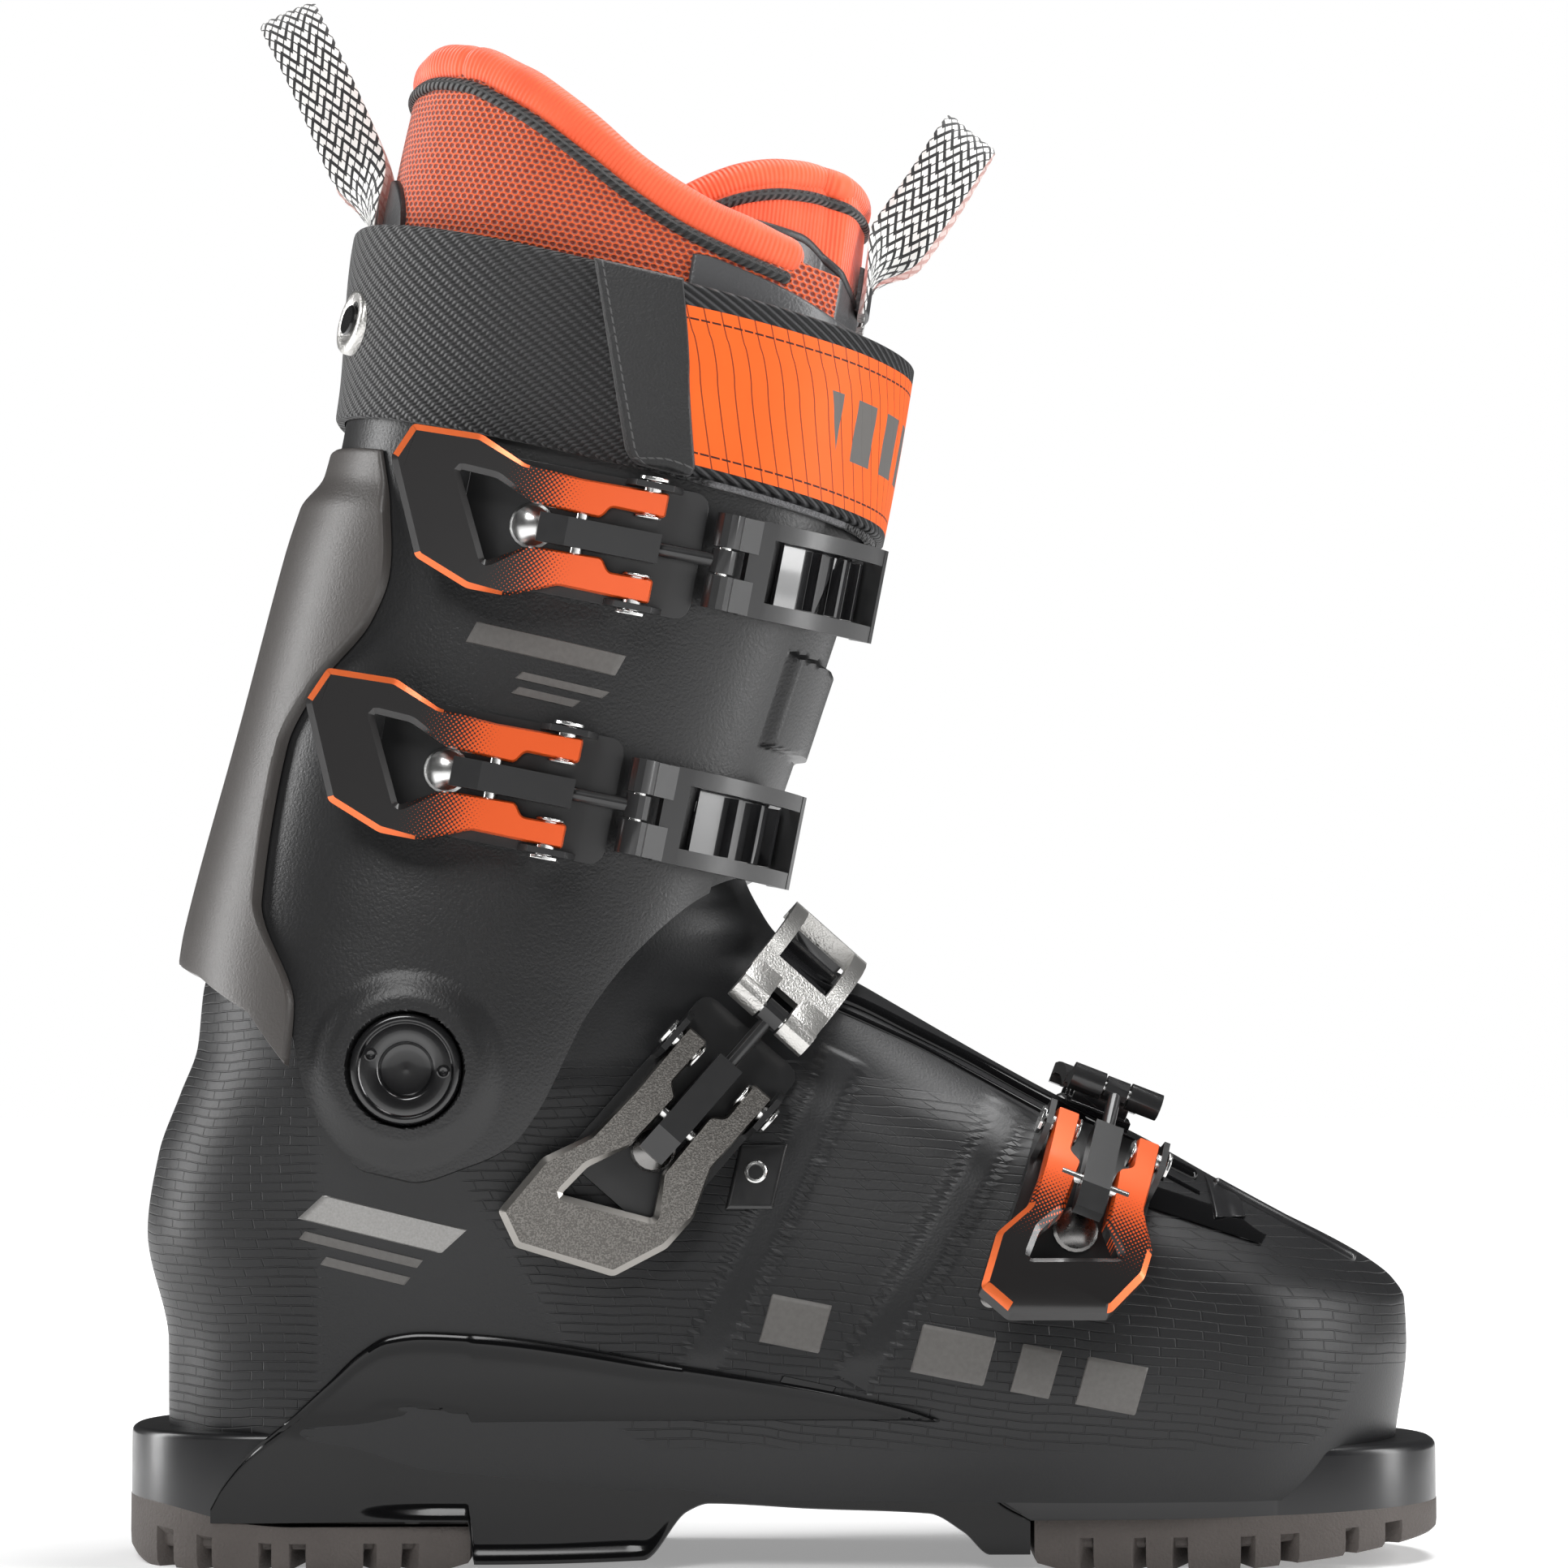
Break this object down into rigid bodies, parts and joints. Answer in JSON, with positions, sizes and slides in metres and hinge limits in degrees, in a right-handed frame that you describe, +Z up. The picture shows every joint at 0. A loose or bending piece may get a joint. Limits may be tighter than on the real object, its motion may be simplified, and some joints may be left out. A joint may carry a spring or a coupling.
{
  "type": "alpine ski boot",
  "caption": "Right-foot alpine ski boot: rigid lower shell, hinged forward-leaning cuff, four lever buckles, power strap and removable padded liner.",
  "frame": {"origin": "on the ground under the middle of the sole, midway across the boot's overall width", "axes": "+X to the toe, +Y to the inner side of the right foot, +Z up the leg"},
  "size_m": [0.306, 0.127, 0.3698],
  "materials": {
    "shell_black": "satin near-black polyurethane with a moulded relief of short dashes",
    "cuff_black": "satin dark grey polyurethane",
    "gloss_black": "glossy black",
    "sole_rubber": "matte brown-grey",
    "spine_grey": "satin warm grey",
    "board_foam": "matte foam",
    "liner_orange": "orange padded knit with a smooth collar",
    "tongue_grey": "dark grey padded synthetic",
    "strap_webbing": "black twill",
    "loop_webbing": "black and white herringbone webbing",
    "lever_black": "anodised, orange fading to black with bright chamfers",
    "titanium_lever": "speckled grey metallic",
    "bail_silver": "bead-blasted silver",
    "buckle_black": "satin black",
    "steel": "polished"
  },
  "bodies": {
    "shell": {"lower_shell": "shell_black", "arch_chassis": "gloss_black", "toe_sole": "sole_rubber", "heel_sole": "sole_rubber", "boot_board": "board_foam", "liner_foot": "liner_orange", "inner_pivot_bolt": "steel", "instep_base": "buckle_black", "instep_base_rivet": "steel", "instep_lever_rivet_a": "steel", "instep_lever_rivet_b": "steel", "instep_ladder": "buckle_black", "toe_base": "buckle_black", "toe_base_rivet": "steel", "toe_lever_rivet_a": "steel", "toe_lever_rivet_b": "steel", "toe_ladder": "buckle_black"},
    "cuff": {"cuff": "cuff_black", "rear_spine": "spine_grey", "power_strap": "strap_webbing", "liner_shaft": "buckle_black", "liner_tongue": "tongue_grey", "rear_loop": "loop_webbing", "tongue_loop": "loop_webbing", "top_base": "buckle_black", "top_base_rivet": "steel", "top_lever_rivet_a": "steel", "top_lever_rivet_b": "steel", "top_ladder": "buckle_black", "ankle_base": "buckle_black", "ankle_base_rivet": "steel", "ankle_lever_rivet_a": "steel", "ankle_lever_rivet_b": "steel", "ankle_ladder": "buckle_black"},
    "cant_disc": {"outer_pivot_disc": "gloss_black"},
    "top_lever": {"top_lever": "lever_black", "top_barrel_pin": "steel"},
    "top_barrel": {"top_barrel": "buckle_black"},
    "top_shaft": {"top_shaft": "buckle_black"},
    "top_bail": {"top_bail": "buckle_black", "top_bail_pin": "steel"},
    "ankle_lever": {"ankle_lever": "lever_black", "ankle_barrel_pin": "steel"},
    "ankle_barrel": {"ankle_barrel": "buckle_black"},
    "ankle_shaft": {"ankle_shaft": "buckle_black"},
    "ankle_bail": {"ankle_bail": "buckle_black", "ankle_bail_pin": "steel"},
    "instep_lever": {"instep_lever": "titanium_lever", "instep_barrel_pin": "steel"},
    "instep_barrel": {"instep_barrel": "buckle_black"},
    "instep_shaft": {"instep_shaft": "buckle_black"},
    "instep_bail": {"instep_bail": "bail_silver", "instep_bail_pin": "steel"},
    "toe_lever": {"toe_lever": "lever_black", "toe_barrel_pin": "steel"},
    "toe_barrel": {"toe_barrel": "buckle_black"},
    "toe_shaft": {"toe_shaft": "buckle_black"},
    "toe_bail": {"toe_bail": "buckle_black", "toe_bail_pin": "steel"}
  },
  "joints": [
    {"name": "cuff_flex", "type": "hinge", "parent": "shell", "child": "cuff", "pos_m": [-0.085, 0.00451, 0.114], "axis": [0, 1, 0], "range_deg": [0, 3], "stiffness_Nm_per_rad": 300},
    {"name": "cant_adjust", "type": "hinge", "parent": "shell", "child": "cant_disc", "pos_m": [-0.085, 0.00451, 0.114], "axis": [0, -1, 0], "range_deg": [-90, 90]},
    {"name": "top_lever_hinge", "type": "hinge", "parent": "cuff", "child": "top_lever", "pos_m": [-0.03187, -0.05551, 0.23146], "axis": [0.1889, -0.0709, 0.9794], "range_deg": [0, 110]},
    {"name": "top_barrel_hinge", "type": "hinge", "parent": "top_lever", "child": "top_barrel", "pos_m": [-0.04605, -0.057, 0.23409], "axis": [0.1889, -0.0709, 0.9794], "range_deg": [-110, 0]},
    {"name": "top_length_adjust", "type": "slide", "parent": "top_barrel", "child": "top_shaft", "axis": [0.9781, 0.1024, -0.1813], "range_m": [0, 0.0026]},
    {"name": "top_bail_hinge", "type": "hinge", "parent": "top_shaft", "child": "top_bail", "pos_m": [-0.01378, -0.05362, 0.2281], "axis": [-0.1889, 0.0709, -0.9794], "range_deg": [0, 40]},
    {"name": "ankle_lever_hinge", "type": "hinge", "parent": "cuff", "child": "ankle_lever", "pos_m": [-0.05111, -0.05452, 0.17639], "axis": [0.1919, -0.0129, 0.9813], "range_deg": [0, 110]},
    {"name": "ankle_barrel_hinge", "type": "hinge", "parent": "ankle_lever", "child": "ankle_barrel", "pos_m": [-0.06529, -0.05579, 0.17914], "axis": [0.1919, -0.0129, 0.9813], "range_deg": [-110, 0]},
    {"name": "ankle_length_adjust", "type": "slide", "parent": "ankle_barrel", "child": "ankle_shaft", "axis": [0.9779, 0.0874, -0.1901], "range_m": [0, 0.0026]},
    {"name": "ankle_bail_hinge", "type": "hinge", "parent": "ankle_shaft", "child": "ankle_bail", "pos_m": [-0.03302, -0.05291, 0.17287], "axis": [-0.1919, 0.0129, -0.9813], "range_deg": [0, 40]},
    {"name": "instep_lever_hinge", "type": "hinge", "parent": "shell", "child": "instep_lever", "pos_m": [-0.01472, -0.04009, 0.11249], "axis": [-0.7464, -0.0713, 0.6617], "range_deg": [0, 110]},
    {"name": "instep_barrel_hinge", "type": "hinge", "parent": "instep_lever", "child": "instep_barrel", "pos_m": [-0.02414, -0.04205, 0.10165], "axis": [-0.7464, -0.0713, 0.6617], "range_deg": [-110, 0]},
    {"name": "instep_length_adjust", "type": "slide", "parent": "instep_barrel", "child": "instep_shaft", "axis": [0.65, 0.1353, 0.7478], "range_m": [0, 0.0026]},
    {"name": "instep_bail_hinge", "type": "hinge", "parent": "instep_shaft", "child": "instep_bail", "pos_m": [-0.00269, -0.03759, 0.12632], "axis": [0.7464, 0.0713, -0.6617], "range_deg": [0, 40]},
    {"name": "toe_lever_hinge", "type": "hinge", "parent": "shell", "child": "toe_lever", "pos_m": [0.0727, -0.03625, 0.09722], "axis": [-0.932, -0.0471, 0.3593], "range_deg": [0, 110]},
    {"name": "toe_barrel_hinge", "type": "hinge", "parent": "toe_lever", "child": "toe_barrel", "pos_m": [0.06975, -0.04715, 0.08813], "axis": [-0.932, -0.0471, 0.3593], "range_deg": [-110, 0]},
    {"name": "toe_length_adjust", "type": "slide", "parent": "toe_barrel", "child": "toe_shaft", "axis": [0.2037, 0.7521, 0.6268], "range_m": [0, 0.0026]},
    {"name": "toe_bail_hinge", "type": "hinge", "parent": "toe_shaft", "child": "toe_bail", "pos_m": [0.07647, -0.02233, 0.10882], "axis": [0.932, 0.0471, -0.3593], "range_deg": [0, 40]}
  ],
  "couplings": [
    {"joint": "top_barrel_hinge", "follows": "top_lever_hinge", "ratio": -0.97},
    {"joint": "ankle_barrel_hinge", "follows": "ankle_lever_hinge", "ratio": -0.97},
    {"joint": "instep_barrel_hinge", "follows": "instep_lever_hinge", "ratio": -0.97},
    {"joint": "toe_barrel_hinge", "follows": "toe_lever_hinge", "ratio": -0.97}
  ]
}
